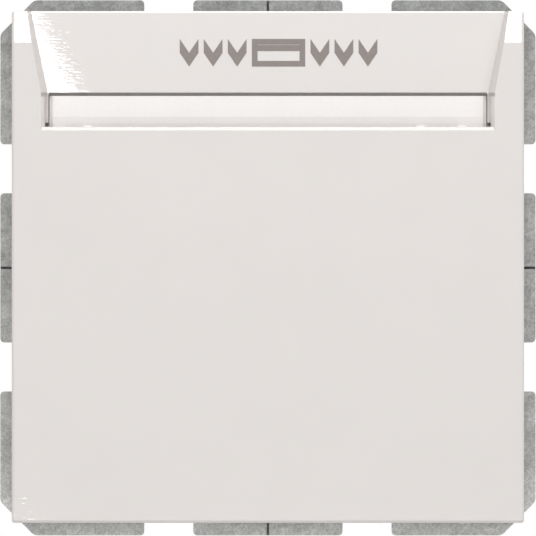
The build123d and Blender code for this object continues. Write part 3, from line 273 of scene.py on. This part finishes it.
def wound_copper(name):
    """Enamelled wire laid turn by turn along the coil, with painted shade darkening the wire between its
    turns.
    """
    material, tree, shader = new_material(name)
    turns = tree.nodes.new("ShaderNodeTexWave")
    turns.bands_direction = "X"
    turns.inputs["Scale"].default_value = 1.0 / (WIRE_TURN_MM * MM)
    turns.inputs["Distortion"].default_value = 0.4
    tree.links.new(object_space(tree), turns.inputs["Vector"])
    # painted shade: each turn is dark at its edges and bright in its middle
    tree.links.new(
        ramp(tree, turns.outputs["Fac"], [(0.0, (0.22, 0.07, 0.02)), (0.8, (0.72, 0.30, 0.10))]),
        shader.inputs["Base Color"],
    )
    shader.inputs["Metallic"].default_value = 0.7
    roughness = spread_value(tree, turns.outputs["Fac"], low=0.28, high=0.45, start=0.0, end=1.0)
    tree.links.new(roughness, shader.inputs["Roughness"])
    bump(tree, shader, turns.outputs["Fac"], strength=0.6, distance_mm=0.05)
    return material


def board_laminate(name):
    """Solder-masked board with faint copper tracks under the mask."""
    material, tree, shader = new_material(name)
    space = object_space(tree)
    tracks = tree.nodes.new("ShaderNodeTexBrick")
    tracks.inputs["Scale"].default_value = 1.0 / (BOARD_TRACK_MM * MM)
    tracks.inputs["Color1"].default_value = (0.02, 0.16, 0.07, 1.0)
    tracks.inputs["Color2"].default_value = (0.025, 0.2, 0.085, 1.0)
    tracks.inputs["Mortar"].default_value = (0.012, 0.09, 0.04, 1.0)
    tracks.inputs["Mortar Size"].default_value = 0.04
    turned = tree.nodes.new("ShaderNodeMapping")
    turned.inputs["Rotation"].default_value = (math.radians(90), 0.0, 0.0)
    tree.links.new(space, turned.inputs["Vector"])
    tree.links.new(turned.outputs["Vector"], tracks.inputs["Vector"])
    tree.links.new(tracks.outputs["Color"], shader.inputs["Base Color"])
    weave = noise(tree, space, size_mm=0.4, detail=2.0)
    tree.links.new(spread_value(tree, weave, low=0.3, high=0.42), shader.inputs["Roughness"])
    bump(tree, shader, tracks.outputs["Fac"], strength=0.3, distance_mm=0.03)
    return material


def clear_resin(name):
    """Clear moulded resin with faint streaks in its gloss."""
    material, tree, shader = new_material(name)
    streaks = noise(tree, object_space(tree), size_mm=1.5, detail=2.0)
    tree.links.new(
        ramp(tree, streaks, [(0.3, (0.88, 0.91, 0.94)), (0.7, (0.96, 0.97, 0.98))]),
        shader.inputs["Base Color"],
    )
    tree.links.new(spread_value(tree, streaks, low=0.05, high=0.12), shader.inputs["Roughness"])
    shader.inputs["Transmission Weight"].default_value = 0.85
    shader.inputs["IOR"].default_value = RESIN_IOR
    return material


def printed_ink(name, colour):
    """Pad-printed ink, slightly uneven in tone."""
    material, tree, shader = new_material(name)
    patches = noise(tree, object_space(tree), size_mm=0.5, detail=4.0)
    tree.links.new(
        ramp(tree, patches, [(0.3, shade(colour, 0.94)), (0.7, shade(colour, 1.06))]),
        shader.inputs["Base Color"],
    )
    tree.links.new(spread_value(tree, patches, low=0.3, high=0.42), shader.inputs["Roughness"])
    bump(tree, shader, patches, strength=0.1, distance_mm=0.01)
    return material


materials = {
    "cover_white": moulded_plastic(
        "cover_white", (0.745, 0.708, 0.684), 0.35, grain_mm=0.35, grain=0.05, mottle=0.008, coat=1.0),
    "guide_white": moulded_plastic("guide_white", (0.94, 0.915, 0.9), 0.3, mottle=0.008),
    "zinc_steel": galvanised("zinc_steel", (0.67, 0.67, 0.66), (0.88, 0.88, 0.87)),
    "cap_grey": moulded_plastic("cap_grey", (0.36, 0.365, 0.365), 0.5, grain=0.3),
    "housing_dark": moulded_plastic("housing_dark", (0.045, 0.047, 0.05), 0.5, grain=0.35, mottle=0.08),
    "lever_plastic": moulded_plastic("lever_plastic", (0.62, 0.6, 0.54), 0.4),
    "screw_steel": bare_metal("screw_steel", (0.62, 0.64, 0.66), 0.32),
    "spring_steel": bare_metal("spring_steel", (0.5, 0.5, 0.52), 0.25),
    "brass_metal": bare_metal("brass_metal", (0.72, 0.53, 0.22), 0.28),
    "copper_wire": wound_copper("copper_wire"),
    "board_green": board_laminate("board_green"),
    "switch_black": moulded_plastic("switch_black", (0.02, 0.02, 0.022), 0.38, mottle=0.1),
    "plunger_red": moulded_plastic("plunger_red", (0.45, 0.04, 0.03), 0.35),
    "clear_plastic": clear_resin("clear_plastic"),
    "relay_plastic": moulded_plastic("relay_plastic", (0.02, 0.025, 0.035), 0.22, mottle=0.08),
    "relay_iron": bare_metal("relay_iron", (0.46, 0.45, 0.43), 0.35),
    "film_plastic": moulded_plastic("film_plastic", (0.5, 0.33, 0.05), 0.28, mottle=0.05),
    "can_metal": bare_metal("can_metal", (0.68, 0.69, 0.71), 0.24),
    "varistor_blue": moulded_plastic("varistor_blue", (0.03, 0.11, 0.38), 0.25, grain_mm=0.8, grain=0.4),
    "fuse_brown": moulded_plastic("fuse_brown", (0.2, 0.08, 0.035), 0.4),
    "resistor_body": moulded_plastic("resistor_body", (0.5, 0.4, 0.26), 0.35),
}
for entry in frame["record"]["subparts"]:
    node = frame["nodes"][entry["node"]]
    node.data.materials.clear()
    node.data.materials.append(materials[entry["material_slot"]])


# Pictogram on the ramp, in place of lettering: a card between two rows of arrows that point down
PRINT_THICKNESS = 0.03 * MM
PRINT_OVERLAP = 0.01 * MM
RAY_START = 10 * MM        # how far in front of the cover a ray to it starts
PRINT_COLOUR = (0.275, 0.242, 0.223)
CARD_SHARE = 0.27          # the card's share of the print's width
STRIPE_SHARE = 0.22        # the card's stripe as a share of its height
LINE_WIDTH = 0.75 * MM
ARROWS_A_SIDE = 3
ARROW_WIDTH_SHARE = 0.78   # an arrow's width as a share of its step
ARROW_STROKE_SHARE = 0.5   # its stroke as a share of the print's height


def ramp_point(x, z):
    """The point on the cover's front at this x and z."""
    cover = frame["nodes"]["cover_shell"]
    start = Vector((x, cad_box[0].y - RAY_START, z))
    _, place, _, _ = cover.ray_cast(start, Vector((0.0, 1.0, 0.0)))
    return place


def px_to_x(px):
    return (px - OBJECT_MIDDLE_PX[0]) * METRES_PER_PX


def px_to_z(px):
    return (OBJECT_MIDDLE_PX[1] - px) * METRES_PER_PX


def printed_shape(name, outlines):
    """A thin printed layer on the ramp, from closed outlines of (x, z) points."""
    mesh = bmesh.new()
    for outline in outlines:
        rear = []
        front = []
        for x, z in outline:
            base = ramp_point(x, z)
            rear.append(mesh.verts.new(base + Vector((0.0, PRINT_OVERLAP, 0.0))))
            front.append(mesh.verts.new(base - Vector((0.0, PRINT_THICKNESS, 0.0))))
        mesh.faces.new(front)
        mesh.faces.new(list(reversed(rear)))
        for index in range(len(outline)):
            after = (index + 1) % len(outline)
            mesh.faces.new((front[index], rear[index], rear[after], front[after]))
    bmesh.ops.recalc_face_normals(mesh, faces=mesh.faces)
    data = bpy.data.meshes.new(name)
    mesh.to_mesh(data)
    mesh.free()
    piece = bpy.data.objects.new(name, data)
    scene.collection.objects.link(piece)
    data.materials.append(ink)
    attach(piece, "insert")


def rectangle(left, right, low, high):
    return [(left, low), (right, low), (right, high), (left, high)]


ink = printed_ink("printed_ink", PRINT_COLOUR)
print_left, print_right = px_to_x(PRINT_LEFT_PX), px_to_x(PRINT_RIGHT_PX)
print_low, print_high = px_to_z(PRINT_BOTTOM_PX), px_to_z(PRINT_TOP_PX)
print_width, print_height = print_right - print_left, print_high - print_low
print_middle = (print_left + print_right) / 2
card_left = print_middle - print_width * CARD_SHARE / 2
card_right = print_middle + print_width * CARD_SHARE / 2
stripe_top = print_high - print_height * STRIPE_SHARE
printed_shape("print_card", [
    rectangle(card_left, card_right, print_low, print_low + LINE_WIDTH),
    rectangle(card_left, card_right, print_high - LINE_WIDTH, print_high),
    rectangle(card_left, card_left + LINE_WIDTH, print_low + LINE_WIDTH, print_high - LINE_WIDTH),
    rectangle(card_right - LINE_WIDTH, card_right, print_low + LINE_WIDTH, print_high - LINE_WIDTH),
    rectangle(card_left + LINE_WIDTH, card_right - LINE_WIDTH,
              stripe_top - print_height * STRIPE_SHARE, stripe_top),
])


def chevron(middle, width):
    """An arrow head that points down."""
    stroke = print_height * ARROW_STROKE_SHARE
    half = width / 2
    return [
        (middle, print_low),
        (middle + half, print_high - stroke),
        (middle + half, print_high),
        (middle, print_low + stroke),
        (middle - half, print_high),
        (middle - half, print_high - stroke),
    ]


arrow_room = (print_width * (1 - CARD_SHARE)) / 2
arrow_step = arrow_room / ARROWS_A_SIDE
arrow_width = arrow_step * ARROW_WIDTH_SHARE
arrows = []
for number in range(ARROWS_A_SIDE):
    offset = number * arrow_step + arrow_width / 2
    arrows.append(chevron(print_left + offset, arrow_width))
    arrows.append(chevron(print_right - offset, arrow_width))
printed_shape("print_arrows", arrows)

# Floor
FLOOR_SIDE = 3.0
FLOOR_DROP = 260 * MM      # so low that the two lamps below the object stay above it


def pale_floor():
    size = FLOOR_SIDE / 2
    level = cad_box[0].z - FLOOR_DROP
    data = bpy.data.meshes.new("floor")
    corners = [(-size, -size, level), (size, -size, level), (size, size, level), (-size, size, level)]
    data.from_pydata(corners, [], [(0, 1, 2, 3)])
    floor = bpy.data.objects.new("floor", data)
    scene.collection.objects.link(floor)
    material, tree, shader = new_material("pale_floor")
    grain = noise(tree, object_space(tree), size_mm=40.0, detail=3.0)
    tree.links.new(
        ramp(tree, grain, [(0.3, (0.84, 0.84, 0.84)), (0.7, (0.88, 0.88, 0.88))]),
        shader.inputs["Base Color"],
    )
    shader.inputs["Roughness"].default_value = 0.7
    data.materials.append(material)


pale_floor()


# World: white where the camera or a reflection sees it, softer as a light
WORLD_LIGHT = 0.42


def white_world():
    world = bpy.data.worlds.new("studio")
    scene.world = world
    world.use_nodes = True
    tree = world.node_tree
    tree.nodes.clear()
    output = tree.nodes.new("ShaderNodeOutputWorld")
    background = tree.nodes.new("ShaderNodeBackground")
    background.inputs["Color"].default_value = (1.0, 1.0, 1.0, 1.0)
    paths = tree.nodes.new("ShaderNodeLightPath")
    seen = paths.outputs["Is Camera Ray"]
    for name in ("Is Glossy Ray", "Is Transmission Ray"):
        either = tree.nodes.new("ShaderNodeMath")
        either.operation = "MAXIMUM"
        tree.links.new(seen, either.inputs[0])
        tree.links.new(paths.outputs[name], either.inputs[1])
        seen = either.outputs[0]
    strength = tree.nodes.new("ShaderNodeMapRange")
    strength.inputs["To Min"].default_value = WORLD_LIGHT
    strength.inputs["To Max"].default_value = 1.0
    tree.links.new(seen, strength.inputs["Value"])
    tree.links.new(strength.outputs["Result"], background.inputs["Strength"])
    tree.links.new(background.outputs["Background"], output.inputs["Surface"])


white_world()


# Lamps
def soft_light(name, place, aim, width, height, radiance, upright=(0.0, 0.0, 1.0)):
    """A rectangular softbox of a given radiance, turned to a point, with its height along a direction."""
    lamp = bpy.data.lights.new(name, "AREA")
    lamp.shape = "RECTANGLE"
    lamp.size = width
    lamp.size_y = height
    lamp.energy = radiance * math.pi * width * height
    light = bpy.data.objects.new(name, lamp)
    scene.collection.objects.link(light)
    light.location = place
    rear = (Vector(place) - Vector(aim)).normalized()
    across = Vector(upright).cross(rear).normalized()
    along = rear.cross(across)
    light.rotation_mode = "QUATERNION"
    light.rotation_quaternion = Matrix((across, along, rear)).transposed().to_quaternion()


MIDDLE = (0.0, 0.0, 0.0)
EAR_TOPS = (0.0, 0.0, 0.032)
RAMP_LEFT = (-0.027, 0.0, 0.028)
RAMP_GLARE_UPRIGHT = (-0.461, 0.0, 0.887)
soft_light("key", (0.03, -0.40, 0.40), MIDDLE, width=0.6, height=0.5, radiance=2.38)
soft_light("low_fill", (0.0, -0.6, -0.065), MIDDLE, width=0.6, height=0.06, radiance=1.3)
# brightens the edges that face up
soft_light("top", (0.0, -0.02, 0.7), MIDDLE, width=0.5, height=0.2, radiance=3.2)
# mirrored by the sloping tops of the cover's two ears
soft_light("crown_glare", (0.0, -0.9, 0.50), EAR_TOPS, width=0.2, height=0.07, radiance=9.0)
# mirrored by the left end of the ramp; its slanting edge is the glare's right edge
soft_light("ramp_glare", (-0.0450, -0.5, -0.0502), RAMP_LEFT,
           width=0.028, height=0.02, radiance=14.0, upright=RAMP_GLARE_UPRIGHT)
soft_light("rear", (0.5, 0.9, 0.5), MIDDLE, width=0.8, height=0.8, radiance=1.2)


# Camera
def photo_camera():
    data = bpy.data.cameras.new("camera")
    camera = bpy.data.objects.new("camera", data)
    scene.collection.objects.link(camera)
    scene.camera = camera
    data.sensor_width = SENSOR
    field = IMAGE_SIDE * METRES_PER_PX
    data.lens = SENSOR * CAMERA_DISTANCE / field
    data.clip_start = CLIP_NEAR
    data.clip_end = CLIP_FAR
    aim = Vector((
        (IMAGE_SIDE / 2 - OBJECT_MIDDLE_PX[0]) * METRES_PER_PX,
        0.0,
        (OBJECT_MIDDLE_PX[1] - IMAGE_SIDE / 2) * METRES_PER_PX,
    ))
    back = Vector((0.0, -math.cos(CAMERA_ELEVATION), math.sin(CAMERA_ELEVATION)))
    camera.location = aim + back * CAMERA_DISTANCE
    camera.rotation_mode = "QUATERNION"
    camera.rotation_quaternion = (-back).to_track_quat("-Z", "Y")


photo_camera()
scene.view_settings.view_transform = "Standard"
